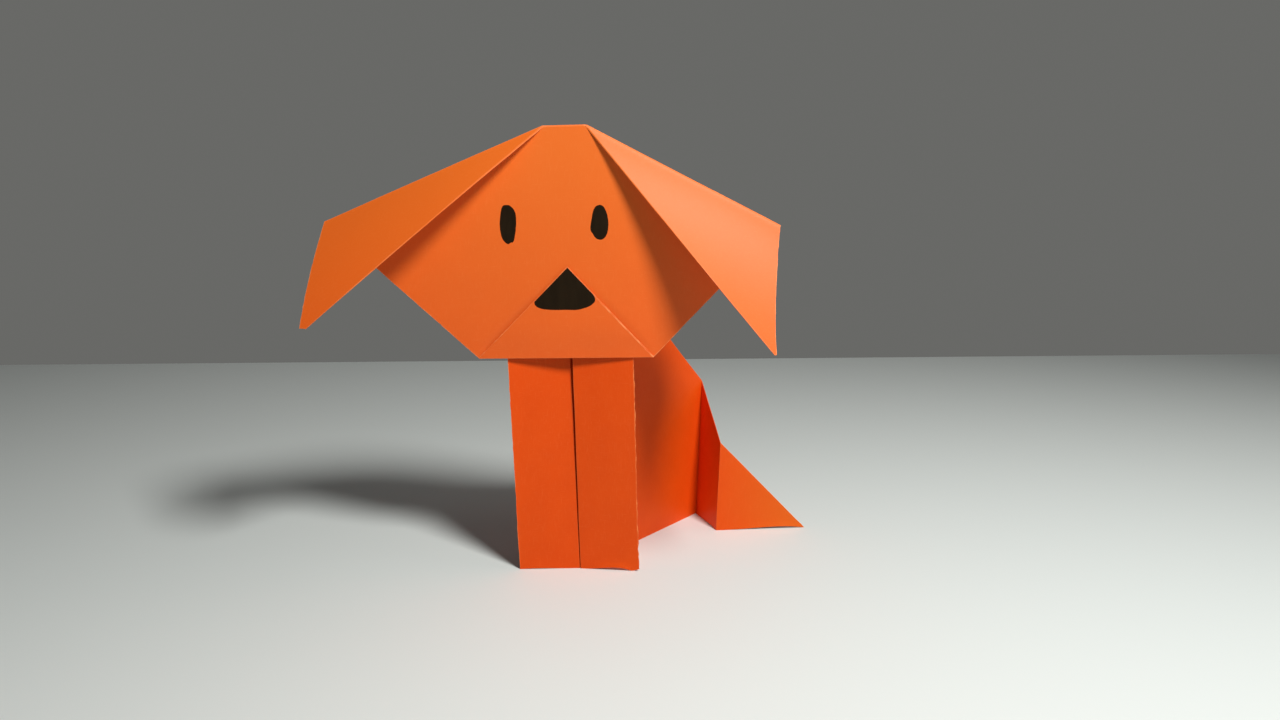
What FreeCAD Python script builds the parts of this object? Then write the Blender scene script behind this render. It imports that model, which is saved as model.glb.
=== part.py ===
import FreeCAD, Part
import math
import os

from FreeCAD import Vector

# A standing dog folded from two equal squares of paper, with inked eyes and nose.
# Millimetres, +Z up. The dog looks along -Y. The origin lies on the table, at the foot
# of the seam between the two front legs. Left and right are as seen from the front.

# --- paper ---------------------------------------------------------------------------
square = 150.0           # side of both squares
paper = 0.1              # thickness of one sheet
layer_air = 0.15         # air left between two layers that are folded together
ink = 0.05               # thickness of the ink on the face
seat = 0.05              # head to front tab, where they are glued

# --- body sheet: folded on its diagonal, front edges turned out as legs, then pleated ---
leg_width = 21.0
flank_length = 72.7      # leg seam to the rear crease
pleat_length = 20.4      # rear crease to the tail crease
flank_heading = 52.5     # degrees in plan, from +X towards +Y
pleat_heading = -70.0
tail_heading = 7.4
right_leg_turn = 5.0     # degrees that each leg's outer edge comes forward
left_leg_turn = 4.0
front_lean = 2.25        # degrees that the legs lean towards -X
rear_lean = 0.9          # degrees that the two rear creases lean towards +X
seam_gap_top = 2.0       # the two layers spread at the top of the seam
foot_nick_width = 2.8    # the right foot's outer corner is worn off
foot_nick_height = 0.8

# --- head sheet: folded on its diagonal, corners turned down as ears, tip turned up ----
head_above_body = 23.9   # the head's top fold above the body's peak
head_shift = -8.1        # the head's centre line at the top fold
head_roll = 2.7          # degrees, right side up
left_ear_in = 4.2        # ear crease on the top fold, from the centre line
right_ear_in = 9.4
left_ear_out = 28.6      # ear crease on the cut edge, in from the side corner
right_ear_out = 34.0
left_ear_spring = 38.0   # degrees between ear and face
right_ear_spring = 38.5
left_tip_fold_side = 3.9     # how far the left ear's tip is trimmed along its two edges
left_tip_cut_side = 2.6
right_tip_trim = 0.8
chin_left = 75.5         # chin crease below the top fold, at its two ends
chin_right = 76.7
snout_spring = 0.8       # the snout's tip stands off the face

# --- ink -----------------------------------------------------------------------------
eye_height_on_face = 31.2    # below the top fold
left_eye_offset = -17.25
left_eye_size = (5.3, 12.8)
right_eye_offset = 12.8
right_eye_size = (5.75, 11.2)
eye_squareness = 2.5     # 2 is an ellipse
eye_taper = 0.10         # narrower at the foot
eye_points = 24          # along the outline of each eye
nose_inset = 0.12        # from the snout's cut edges
nose_left_side = 15.5    # along the snout's two cut edges, from its tip
nose_right_side = 11.2
# the nose's round lower side, across and down from the tip of the snout
nose_lip = [(8.6, 10.4), (7.4, 12.2), (4.1, 13.4), (-2.4, 13.7), (-7.9, 13.3), (-10.7, 12.1)]

# --- glue ----------------------------------------------------------------------------
glue_width = 8.0         # a small kite-shaped dab on the tab's tip
glue_height = 10.0
glue_above_tab_tip = 2.0

layer_pitch = paper + layer_air
half_diagonal = square / math.sqrt(2)


# --- folded sheets -------------------------------------------------------------------
def heading(degrees):
    """Unit vector in plan."""
    angle = math.radians(degrees)
    return Vector(math.cos(angle), math.sin(angle), 0)


def leaning(degrees):
    """A step of one millimetre up along an edge that leans towards +X."""
    return Vector(math.tan(math.radians(degrees)), 0, 1)


def facing(corners):
    """A panel's normal, on the side from which its corners run anticlockwise.

    Its length is twice the panel's area.
    """
    total = Vector(0, 0, 0)
    for here, after in zip(corners, corners[1:] + corners[:1]):
        total = total + here.cross(after)
    return total


def mitre(facings, distance, level=False):
    """The shortest step that moves every plane out by the distance, level if asked.

    Where more than three planes meet, a longer normal counts for more.
    """
    slack = 1e-7 * max(f.Length for f in facings)
    columns = [Vector(slack, 0, 0), Vector(0, slack, 0), Vector(0, 0, slack)]
    target = Vector(0, 0, 0)
    for f in facings:
        weight = f.Length
        n = f * (1 / weight)
        if level:
            n.z = 0
        columns = [column + n * (weight * part) for column, part in zip(columns, n)]
        target = target + n * (weight * distance)
    first, second, third = columns
    size = first.dot(second.cross(third))
    return Vector(target.dot(second.cross(third)), first.dot(target.cross(third)),
                  first.dot(second.cross(target))) * (1 / size)


def facings_at(name, points, panels):
    """Normals, at one corner, of the panels that meet there: longer for a larger panel."""
    facings = []
    for panel in panels:
        if name in panel:
            place = panel.index(name)
            to_last = points[panel[place - 1]] - points[name]
            to_next = points[panel[(place + 1) % len(panel)]] - points[name]
            size = facing([points[n] for n in panel]).Length
            facings.append(to_next.cross(to_last).normalize() * math.sqrt(size))
    return facings


def skins(points, panels, on_table=()):
    """Outer and inner corner points of the paper around a folded mid-surface."""
    outer, inner = {}, {}
    for name, point in points.items():
        step = mitre(facings_at(name, points, panels), paper / 2, name in on_table)
        outer[name] = point + step
        inner[name] = point - step
    return outer, inner


def closed_solid(loops):
    """One solid from flat or slightly twisted faces, each a loop of points."""
    triangles = []
    for loop in loops:
        for second, third in zip(loop[1:-1], loop[2:]):
            outline = Part.makePolygon([loop[0], second, third, loop[0]])
            triangles.append(Part.Face(outline))
    shell = Part.makeShell(triangles)
    shell.sewShape()
    solid = Part.makeSolid(shell)
    if solid.Volume < 0:
        solid.reverse()
    return solid.removeSplitter()


def folded_sheet(points, panels, on_table=()):
    """The sheet as one solid: its panels, the folds between them and its cut edges."""
    outer, inner = skins(points, panels, on_table)
    steps = {(a, b) for panel in panels for a, b in zip(panel, panel[1:] + panel[:1])}
    loops = [[outer[n] for n in panel] for panel in panels]
    loops += [[inner[n] for n in panel[:1] + panel[:0:-1]] for panel in panels]
    for a, b in sorted(steps):
        if (b, a) not in steps:
            loops.append([outer[b], outer[a], inner[a], inner[b]])
    return closed_solid(loops)


# --- body ----------------------------------------------------------------------------
tail_length = square - leg_width - flank_length - pleat_length
seam_top = square - leg_width
leg_outer_top = square - leg_width * math.sqrt(2)
tab_length = leg_width * math.sqrt(2)

BODY_PANELS = [
    # right layer, from the seam to the tail's tip
    ("seam", "rear", "rear_top"),
    ("seam", "rear_top", "peak"),
    ("rear", "tail", "tail_top", "rear_top"),
    ("tail", "tip", "tail_top"),
    # the closed fold along the back, which joins the two layers
    ("peak", "rear_top", "rear_top_2", "peak_2"),
    ("rear_top", "tail_top", "tail_top_2", "rear_top_2"),
    ("tail_top", "tip", "tip_2", "tail_top_2"),
    # left layer
    ("seam_2", "rear_top_2", "rear_2"),
    ("seam_2", "peak_2", "rear_top_2"),
    ("rear_2", "rear_top_2", "tail_top_2", "tail_2"),
    ("tail_2", "tail_top_2", "tip_2"),
    # legs
    ("seam", "peak", "right_top", "right_foot_up", "right_foot"),
    ("peak_2", "seam_2", "left_foot", "left_top"),
    # the front corner, squashed down over the legs as a tab
    ("right_top", "peak", "tab_peak", "tab_right"),
    ("peak_2", "left_top", "tab_left", "tab_peak"),
    ("peak", "peak_2", "tab_peak"),
    ("tab_right", "tab_peak", "tab_tip"),
    ("tab_peak", "tab_left", "tab_tip"),
]
RIGHT_LAYER = BODY_PANELS[:4]
ON_TABLE = ("seam", "rear", "tail", "tip", "seam_2", "rear_2", "tail_2", "tip_2",
            "right_foot", "left_foot")


def body_points():
    """Corner points of the body sheet's mid-surface."""
    lean = leaning(-front_lean)
    right_out = heading(-right_leg_turn)
    left_out = heading(180 + left_leg_turn)
    rear_lean_step = leaning(rear_lean)
    p = {"seam": Vector(0, 0, 0)}
    p["rear"] = p["seam"] + heading(flank_heading) * flank_length
    p["tail"] = p["rear"] + heading(pleat_heading) * pleat_length
    p["tip"] = p["tail"] + heading(tail_heading) * tail_length
    p["peak"] = p["seam"] + lean * seam_top
    p["rear_top"] = p["rear"] + rear_lean_step * (tail_length + pleat_length)
    p["tail_top"] = p["tail"] + rear_lean_step * tail_length

    right_facings = {name: facings_at(name, p, RIGHT_LAYER) for name in list(p)}
    for name, facings in right_facings.items():
        p[name + "_2"] = p[name] - mitre(facings, layer_pitch, name in ON_TABLE)
    p["peak_2"] = p["peak"] + left_out * seam_gap_top

    left_lean = (p["peak_2"] - p["seam_2"]) * (1 / seam_top)
    right_edge = p["seam"] + right_out * leg_width
    p["right_foot"] = p["seam"] + right_out * (leg_width - foot_nick_width)
    p["right_foot_up"] = right_edge + lean * foot_nick_height
    p["right_top"] = right_edge + lean * leg_outer_top
    p["left_foot"] = p["seam_2"] + left_out * leg_width
    p["left_top"] = p["left_foot"] + left_lean * leg_outer_top

    p["tab_right"] = p["right_top"] + heading(-90 - right_leg_turn) * layer_pitch
    p["tab_left"] = p["left_top"] + heading(-90 + left_leg_turn) * layer_pitch
    p["tab_peak"] = (p["peak"] + p["peak_2"]) * 0.5 + Vector(0, -layer_pitch, 0)
    tab_front = p["tab_right"].y
    forward = tab_front - p["tab_peak"].y
    down = math.sqrt(tab_length ** 2 - forward ** 2)
    p["tab_tip"] = p["tab_peak"] - lean * down + Vector(0, forward, 0)
    return p


# --- head ----------------------------------------------------------------------------
HEAD_PANELS = [
    # front layer: face and the inner sides of the ears
    ("left_in", "left_out", "chin_l", "chin_r", "right_out", "right_in"),
    ("left_out", "left_in", "left_tip", "left_tip_cut"),
    ("right_in", "right_out", "right_tip_cut", "right_tip"),
    # the closed fold along the top and down both ears
    ("left_in", "right_in", "right_in_2", "left_in_2"),
    ("left_in", "left_in_2", "left_tip_2", "left_tip"),
    ("right_in", "right_tip", "right_tip_2", "right_in_2"),
    # rear layer: back of the head and the outer sides of the ears
    ("left_in_2", "right_in_2", "right_out_2", "chin_r_2", "chin_l_2", "left_out_2"),
    ("left_in_2", "left_out_2", "left_tip_cut_2", "left_tip_2"),
    ("right_out_2", "right_in_2", "right_tip_2", "right_tip_cut_2"),
    # the chin fold and the snout, the rear layer wrapped round the front one
    ("chin_r", "chin_l", "snout_l", "snout_r"),
    ("snout_r", "snout_l", "snout_tip"),
    ("chin_l_2", "chin_r_2", "snout_r_2", "snout_l_2"),
    ("snout_l_2", "snout_r_2", "snout_tip_2"),
]
FRONT_LAYER = HEAD_PANELS[:3]


class Face:
    """The face's own frame: across to the right, down and towards the viewer."""

    def __init__(self, back_of_head):
        roll = math.radians(head_roll)
        self.across = Vector(math.cos(roll), 0, math.sin(roll))
        self.down = Vector(math.sin(roll), 0, -math.cos(roll))
        self.out = Vector(0, -1, 0)
        front = back_of_head - paper / 2 - layer_pitch
        self.origin = Vector(head_shift, front, seam_top + head_above_body)

    def at(self, across, down, out=0.0):
        return self.origin + self.across * across + self.down * down + self.out * out


def folded_over(corner, start, end):
    """Where a flat corner lands when it is folded over the line from start to end."""
    line = (end - start).normalize()
    foot = start + line * (corner - start).dot(line)
    return foot * 2 - corner


def turned(corner, start, end, degrees):
    """A corner turned about the crease from start to end."""
    spin = FreeCAD.Rotation((end - start).normalize(), degrees)
    return start + spin.multVec(corner - start)


def head_points(face):
    """Corner points of the head sheet's mid-surface."""
    p = {
        "left_in": face.at(-left_ear_in, 0),
        "right_in": face.at(right_ear_in, 0),
        "left_out": face.at(-half_diagonal + left_ear_out, left_ear_out),
        "right_out": face.at(half_diagonal - right_ear_out, right_ear_out),
        "chin_l": face.at(-half_diagonal + chin_left, chin_left),
        "chin_r": face.at(half_diagonal - chin_right, chin_right),
    }
    left_corner = face.at(-half_diagonal, 0)
    right_corner = face.at(half_diagonal, 0)
    left_corner = turned(left_corner, p["left_in"], p["left_out"], left_ear_spring - 180)
    right_corner = turned(right_corner, p["right_in"], p["right_out"], 180 - right_ear_spring)
    for side, corner, along_fold, along_cut in (
            ("left", left_corner, left_tip_fold_side, left_tip_cut_side),
            ("right", right_corner, right_tip_trim, right_tip_trim)):
        to_fold = (p[side + "_in"] - corner).normalize()
        to_cut = (p[side + "_out"] - corner).normalize()
        p[side + "_tip"] = corner + to_fold * along_fold
        p[side + "_tip_cut"] = corner + to_cut * along_cut

    front_facings = {name: facings_at(name, p, FRONT_LAYER) for name in list(p)}
    for name, facings in front_facings.items():
        p[name + "_2"] = p[name] - mitre(facings, layer_pitch)
    # the rear layer's chin fold lies one layer lower, around the front layer's
    wrap = layer_pitch
    p["chin_l_2"] = face.at(-half_diagonal + chin_left + wrap, chin_left + wrap, -layer_pitch)
    p["chin_r_2"] = face.at(half_diagonal - chin_right - wrap, chin_right + wrap, -layer_pitch)

    for suffix, layers in (("", 1), ("_2", 2)):
        left, right = p["chin_l" + suffix], p["chin_r" + suffix]
        lift = face.out * (layers * layer_pitch - (left - face.origin).dot(face.out))
        p["snout_l" + suffix] = left + lift
        p["snout_r" + suffix] = right + lift
        corner = face.at(0, half_diagonal, layers * layer_pitch)
        flat_tip = folded_over(corner, p["snout_l" + suffix], p["snout_r" + suffix])
        p["snout_tip" + suffix] = flat_tip + face.out * snout_spring
    return p


# --- ink on the face -----------------------------------------------------------------
def ink_film(outline, raise_by):
    """Ink of even thickness on a flat panel, from its closed outline."""
    return Part.Face(Part.Wire(outline)).extrude(raise_by * ink)


def eye(face, offset, size):
    """A rounded, upright eye on the front of the face."""
    half_width, half_height = size[0] / 2, size[1] / 2
    upright = FreeCAD.Rotation(face.out, head_roll)
    centre = face.at(offset, eye_height_on_face, paper / 2)
    power = 2 / eye_squareness
    ring = []
    for step in range(eye_points):
        angle = 2 * math.pi * step / eye_points
        c, s = math.cos(angle), math.sin(angle)
        down = half_height * math.copysign(abs(s) ** power, s)
        across = half_width * math.copysign(abs(c) ** power, c)
        across *= 1 - eye_taper * down / half_height
        ring.append(centre + upright.multVec(face.across * across + face.down * down))
    curve = Part.BSplineCurve()
    curve.interpolate(ring, PeriodicFlag=True)
    return ink_film([curve.toShape()], face.out)


def nose(head_skin):
    """The inked tip of the snout."""
    tip, left, right = (head_skin[n] for n in ("snout_tip_2", "snout_l_2", "snout_r_2"))
    to_left, to_right = (left - tip).normalize(), (right - tip).normalize()
    out = facing([left, right, tip]).normalize()
    down = (to_left + to_right).normalize()
    across = down.cross(out) * -1
    start = tip + down * (nose_inset * math.sqrt(2))
    left_end = start + to_left * nose_left_side
    right_end = start + to_right * nose_right_side
    lip = Part.BSplineCurve()
    lip.interpolate([right_end] + [tip + across * x + down * y for x, y in nose_lip] + [left_end])
    sides = [Part.LineSegment(start, right_end).toShape(), lip.toShape(),
             Part.LineSegment(left_end, start).toShape()]
    return ink_film(sides, out)


# --- glue ----------------------------------------------------------------------------
def glue_dab(body_skin, back_of_head):
    """The dab of glue that fills the wedge between the tab and the back of the head."""
    peak, tip = body_skin["tab_peak"], body_skin["tab_tip"]
    up_tab = (peak - tip) * (1 / (peak.z - tip.z))
    low = tip + up_tab * glue_above_tab_tip
    middle = low + up_tab * (glue_height / 2)
    high = low + up_tab * glue_height
    sides = {}
    for corner, width in (("tab_left", -glue_width / 2), ("tab_right", glue_width / 2)):
        out = facing([tip, body_skin[corner], peak])
        sides[corner] = middle + Vector(width, -out.x / out.y * width, 0)
    left, right = sides["tab_left"], sides["tab_right"]

    def on_head(point):
        return Vector(point.x, back_of_head, point.z)

    loops = [[low, left, high], [high, right, low]]
    loops += [[on_head(p) for p in reversed(loop)] for loop in loops]
    for a, b in ((low, right), (right, high), (high, left), (left, low)):
        loops.append([on_head(b), on_head(a), a, b])
    return closed_solid(loops)


def main():
    body = body_points()
    body_outer, _ = skins(body, BODY_PANELS, ON_TABLE)
    tab_front = min(body_outer[n].y for n in ("tab_right", "tab_left", "tab_tip"))
    back_of_head = tab_front - seat
    face = Face(back_of_head)
    head = head_points(face)
    head_outer, _ = skins(head, HEAD_PANELS)
    shapes = {
        "body_sheet": folded_sheet(body, BODY_PANELS, ON_TABLE),
        "head_sheet": folded_sheet(head, HEAD_PANELS),
        "left_eye": eye(face, left_eye_offset, left_eye_size),
        "right_eye": eye(face, right_eye_offset, right_eye_size),
        "nose": nose(head_outer),
        "glue_dab": glue_dab(body_outer, back_of_head),
    }
    os.makedirs("parts", exist_ok=True)
    for name, shape in shapes.items():
        box = shape.BoundBox
        print(f"{name}: valid {shape.isValid()}, {shape.ShapeType}, volume {shape.Volume:.1f} mm3, "
              f"x {box.XMin:.2f}..{box.XMax:.2f}, y {box.YMin:.2f}..{box.YMax:.2f}, "
              f"z {box.ZMin:.2f}..{box.ZMax:.2f}")
        shape.exportStep(f"parts/{name}.step")


main()
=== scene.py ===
import math

import bmesh
import bpy
import numpy as np
from mathutils import Matrix, Vector, noise


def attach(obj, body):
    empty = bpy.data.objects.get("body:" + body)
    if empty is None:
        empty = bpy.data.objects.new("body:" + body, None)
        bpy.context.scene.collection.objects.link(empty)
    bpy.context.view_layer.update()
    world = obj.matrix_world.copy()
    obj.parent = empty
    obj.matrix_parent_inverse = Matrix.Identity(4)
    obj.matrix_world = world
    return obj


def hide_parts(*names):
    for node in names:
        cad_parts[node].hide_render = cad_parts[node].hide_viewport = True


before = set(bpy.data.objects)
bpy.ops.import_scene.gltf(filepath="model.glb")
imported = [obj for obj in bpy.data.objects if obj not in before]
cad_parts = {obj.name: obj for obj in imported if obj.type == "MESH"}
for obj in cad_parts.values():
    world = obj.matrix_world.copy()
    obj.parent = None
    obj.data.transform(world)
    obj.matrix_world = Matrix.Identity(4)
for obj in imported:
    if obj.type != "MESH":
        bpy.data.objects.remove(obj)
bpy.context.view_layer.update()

# A standing dog folded from two equal squares of orange paper, with inked eyes and nose.
# Folds are worked out in millimetres in the CAD frame: +Z up, the dog looks along -Y, and
# the origin lies on the table at the foot of the seam between the front legs.
MM = 0.001

# --- paper, with the names of the CAD source -----------------------------------------
square = 150.0           # side of both squares
paper = 0.1              # thickness of one sheet
layer_air = 0.05         # air left between two layers that are folded together
ink = 0.05               # thickness of the ink on the face
seat = 0.05              # head to front tab, where they are glued

# --- body sheet ----------------------------------------------------------------------
leg_width = 21.0
flank_length = 72.7      # leg seam to the rear crease
pleat_length = 20.4      # rear crease to the tail crease
flank_heading = 52.5     # degrees in plan, from +X towards +Y
pleat_heading = -70.0
tail_heading = 7.4
right_leg_turn = 5.0     # degrees that each leg's outer edge comes forward
left_leg_turn = 4.0
front_lean = 2.25        # degrees that the legs lean towards -X
rear_lean = 0.9          # degrees that the two rear creases lean towards +X
seam_gap_top = 1.4       # the two layers spread at the top of the seam
seam_gap_foot = 0.50     # and a little at its foot
seam_step_top = 2.3      # the left leg's inner edge lies behind the right one's
seam_step_foot = 0.3
foot_nick_width = 2.8    # the right foot's outer corner is worn off
foot_nick_height = 0.8

# --- head sheet ----------------------------------------------------------------------
head_above_body = 23.55  # the head's top fold above the body's peak
head_shift = -8.1        # the head's centre line at the top fold
head_roll = 2.45         # degrees, right side up
left_ear_in = 4.2        # ear crease on the top fold, from the centre line
right_ear_in = 9.4
left_ear_out = 28.6      # ear crease on the cut edge, in from the side corner
right_ear_out = 34.0
left_ear_spring = 36.1   # degrees between ear and face
right_ear_spring = 38.5
left_tip_fold_side = 3.1     # how far the left ear's tip is trimmed along its two edges
left_tip_cut_side = 2.4
right_tip_trim = 0.8
chin_left = 75.15        # chin crease below the top fold, at its two ends
chin_right = 76.35
chin_skew = 1.1          # the sheet's left edge runs a little steeper than its right one
snout_spring = 0.4       # the snout's tip stands off the face
snout_reach = 0.35       # and reaches above where a flat fold would put it
snout_aside = 0.45       # and to the right of it

# --- ink, drawn by hand --------------------------------------------------------------
eye_height_on_face = 30.85   # below the top fold
left_eye_offset = -17.25
right_eye_offset = 12.8
# outlines across and down from each eye's middle
LEFT_EYE = [(-1.4, -6.2), (-0.4, -6.4), (0.7, -6.2), (1.8, -5.2), (2.5, -3.7), (2.7, -1.3),
            (2.5, 1.8), (2.1, 4.2), (1.6, 5.7), (0.9, 5.8), (0.1, 6.4), (-0.8, 6.0),
            (-1.9, 4.7), (-2.5, 2.6), (-2.7, -0.4), (-2.4, -3.4), (-2.0, -5.2)]
RIGHT_EYE = [(-0.3, -5.5), (0.7, -5.5), (1.7, -4.6), (2.5, -2.8), (3.0, -0.3), (2.9, 2.2),
             (2.5, 4.0), (1.6, 5.3), (0.5, 5.8), (-0.7, 5.5), (-1.6, 4.8), (-2.2, 3.7),
             (-2.8, 2.9), (-2.9, 1.4), (-2.5, -1.3), (-2.1, -3.3), (-1.4, -4.8)]
nose_inset = 0.03        # from the snout's cut edges
nose_left_side = 16.0    # along the snout's two cut edges, from its tip
nose_right_side = 12.3
# the nose's round lower side, across and down from the tip of the snout
NOSE_LIP = [(9.2, 10.1), (9.0, 11.4), (7.5, 12.7), (5.2, 13.6), (2.8, 14.1), (-0.6, 14.1),
            (-4.4, 14.2), (-7.9, 14.0), (-10.0, 13.4), (-11.0, 12.5)]
pen_steps = 4            # points drawn from one point of an outline to the next
wobble = 0.07            # how far the pen strays from the outline
wobble_turns = 1.3       # and how often, in turns per millimetre
left_eye_seed = 1.5      # each eye strays in its own way
right_eye_seed = 4.5
ink_ramp = 0.3           # the film is thinner up to here from its edge
ink_edge_share = 0.5     # down to this share of its thickness

# --- glue ----------------------------------------------------------------------------
glue_width = 8.0
glue_height = 10.0
glue_above_tab_tip = 2.0
glue_rounding = 0.16     # share by which the dab's corners come in

# --- meshes --------------------------------------------------------------------------
cell = 1.0               # mesh spacing across the sheets
film_cell = cell / 2     # and across ink and glue
cell_offset = 0.37       # share of a cell, so that no plane runs along an edge
weld = 1e-4              # points this near a cutting plane count as on it
near_ring = 0.12         # mesh lines beside every fold and cut
far_ring = 0.32
closed_fold_limit = 4 * near_ring    # a four-sided panel this narrow is a closed fold
table_touch = 1e-3       # points below this stand on the table
sharp_angle = 52.0       # degrees; edges sharper than this aren't shaded smooth

# --- finish of the paper -------------------------------------------------------------
fold_crown = 0.04        # how far a closed fold bulges at its middle
fold_round = 0.45        # share by which a crease is eased
ragged = 0.10            # unevenness of the cut edges
torn = 0.30              # and of the edges that were torn along a fold
coarse_nick = 3.4        # length of the unevenness, in two sizes
fine_nick = 1.3
coarse_share = 0.8       # the coarse one's height beside the fine one's
nick_step = 3.7          # keeps the unevenness of one panel unlike the next one's
crisp = 0.16             # how much narrower a clean cut's pale band is (worn fibres and painted highlight)
fluffy = 0.12            # how much wider a torn edge's pale band is (worn fibres and painted highlight)
pale_edge_reach = 5.0         # distances from folds and cuts are kept up to here
CRISP = [{"snout_l_2", "snout_tip_2"}, {"tail", "tip"}, {"rear", "tail"},
         {"seam", "right_foot"}, {"seam_2", "left_foot"}]
TORN = [{"right_top", "right_foot_up"}, {"snout_r_2", "snout_tip_2"}]
WAVES = ((48.0, 0.32), (15.0, 0.08))     # length and height of the sheets' gentle waves
WAVE_START = (16.8, 18.4, 15.5)          # where in the noise the waves are taken from
SECOND_START = (0.5, 19.6, 13.6)         # and how far from it their second direction is
left_ear_bow = 2.4       # the ears curl between crease and tip, forwards
right_ear_bow = -4.2
snout_puff = 0.6         # the chin fold isn't pressed flat
puff_reach = 12.0
dent_reach = 2.2
dent_start = 1 / 8       # share of its length over which a dent sets in
dent_end = 1 / 2         # and over which it fades out
seam_spring = 0.7        # the left flank springs away from the right one behind the seam
spring_rise = 1.2
spring_reach = 26.0
foot_reach = 3.0         # the paper lifts off the table along its lower edges, up to here
foot_spread = 0.4        # and comes forward by this share of its lift
FOOT_LIFTS = [("seam", "right_foot", 1.15), ("seam_2", "left_foot", 0.25),
              ("rear", "tail", 0.45), ("tail", "tip", 0.90)]

layer_pitch = paper + layer_air
half_diagonal = square / math.sqrt(2)
tail_length = square - leg_width - flank_length - pleat_length
seam_top = square - leg_width
leg_outer_top = square - leg_width * math.sqrt(2)
tab_length = leg_width * math.sqrt(2)


# --- geometry ------------------------------------------------------------------------
def vec(x, y, z):
    return np.array((x, y, z), float)


def unit(v):
    return v / np.linalg.norm(v)


def heading(degrees):
    """Unit vector in plan."""
    angle = math.radians(degrees)
    return vec(math.cos(angle), math.sin(angle), 0)


def leaning(degrees):
    """A step of one millimetre up along an edge that leans towards +X."""
    return vec(math.tan(math.radians(degrees)), 0, 1)


def facing(corners):
    """A panel's normal, as long as twice its area."""
    return sum(np.cross(here, after) for here, after in zip(corners, corners[1:] + corners[:1]))


def mitre(facings, distance, level=False):
    """The shortest step that moves every plane out by the distance, level if asked."""
    weights = np.linalg.norm(facings, axis=1)
    normals = np.array(facings) / weights[:, None]
    if level:
        normals[:, 2] = 0
    pull = (normals * weights[:, None]).T
    return np.linalg.pinv(pull @ normals, rcond=1e-6) @ pull.sum(axis=1) * distance


def facings_at(name, points, panels):
    """Normals, at one corner, of the panels that meet there: longer for a larger panel."""
    facings = []
    for panel in panels:
        if name in panel:
            place = panel.index(name)
            to_last = points[panel[place - 1]] - points[name]
            to_next = points[panel[(place + 1) % len(panel)]] - points[name]
            size = np.linalg.norm(facing([points[n] for n in panel]))
            facings.append(unit(np.cross(to_next, to_last)) * math.sqrt(size))
    return facings


def outer_skin(points, panels, on_table=()):
    """Corner points of the paper's outer side around a folded mid-surface."""
    return {name: point + mitre(facings_at(name, points, panels), paper / 2, name in on_table)
            for name, point in points.items()}


def share_along(points, start, end):
    """How far along the line from start to end each point lies, from 0 to 1."""
    along = end - start
    return np.clip((points - start) @ along / np.dot(along, along), 0, 1)


def distance_to(points, start, end):
    """Distance from each point to the line between start and end."""
    nearest = share_along(points, start, end)[:, None] * (end - start)
    return np.linalg.norm(points - start - nearest, axis=1)


def distance_from_hinge(points, start, end):
    """Distance from each point to the endless line through start and end."""
    return np.linalg.norm(np.cross(points - start, unit(end - start)), axis=1)


def eased_step(share):
    """From 0 to 1, level at both ends."""
    return share ** 2 * (3 - 2 * share)


def smooth_point(a, b, c, d, share):
    """A point between b and c on a smooth line through all four points."""
    return 0.5 * (2 * b + (c - a) * share + (2 * a - 5 * b + 4 * c - d) * share ** 2
                  + (3 * b - a - 3 * c + d) * share ** 3)


# --- folds of the body ---------------------------------------------------------------
BODY_PANELS = [
    # right layer, from the seam to the tail's tip
    ("seam", "rear", "rear_top"),
    ("seam", "rear_top", "peak"),
    ("rear", "tail", "tail_top", "rear_top"),
    ("tail", "tip", "tail_top"),
    # the closed fold along the back, which joins the two layers
    ("peak", "rear_top", "rear_top_2", "peak_2"),
    ("rear_top", "tail_top", "tail_top_2", "rear_top_2"),
    ("tail_top", "tip", "tip_2", "tail_top_2"),
    # left layer
    ("seam_2", "rear_top_2", "rear_2"),
    ("seam_2", "peak_2", "rear_top_2"),
    ("rear_2", "rear_top_2", "tail_top_2", "tail_2"),
    ("tail_2", "tail_top_2", "tip_2"),
    # legs
    ("seam", "peak", "right_top", "right_foot_up", "right_foot"),
    ("peak_2", "seam_2", "left_foot", "left_top"),
    # the front corner, squashed down over the legs as a tab
    ("right_top", "peak", "tab_peak", "tab_right"),
    ("peak_2", "left_top", "tab_left", "tab_peak"),
    ("peak", "peak_2", "tab_peak"),
    ("tab_right", "tab_peak", "tab_tip"),
    ("tab_peak", "tab_left", "tab_tip"),
]
RIGHT_LAYER = BODY_PANELS[:4]
# flat across these lines: each flank and its twin is one unfolded surface
UNCREASED = [{"seam", "rear_top"}, {"seam_2", "rear_top_2"}]
ON_TABLE = ("seam", "rear", "tail", "tip", "seam_2", "rear_2", "tail_2", "tip_2",
            "right_foot", "left_foot")


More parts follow.
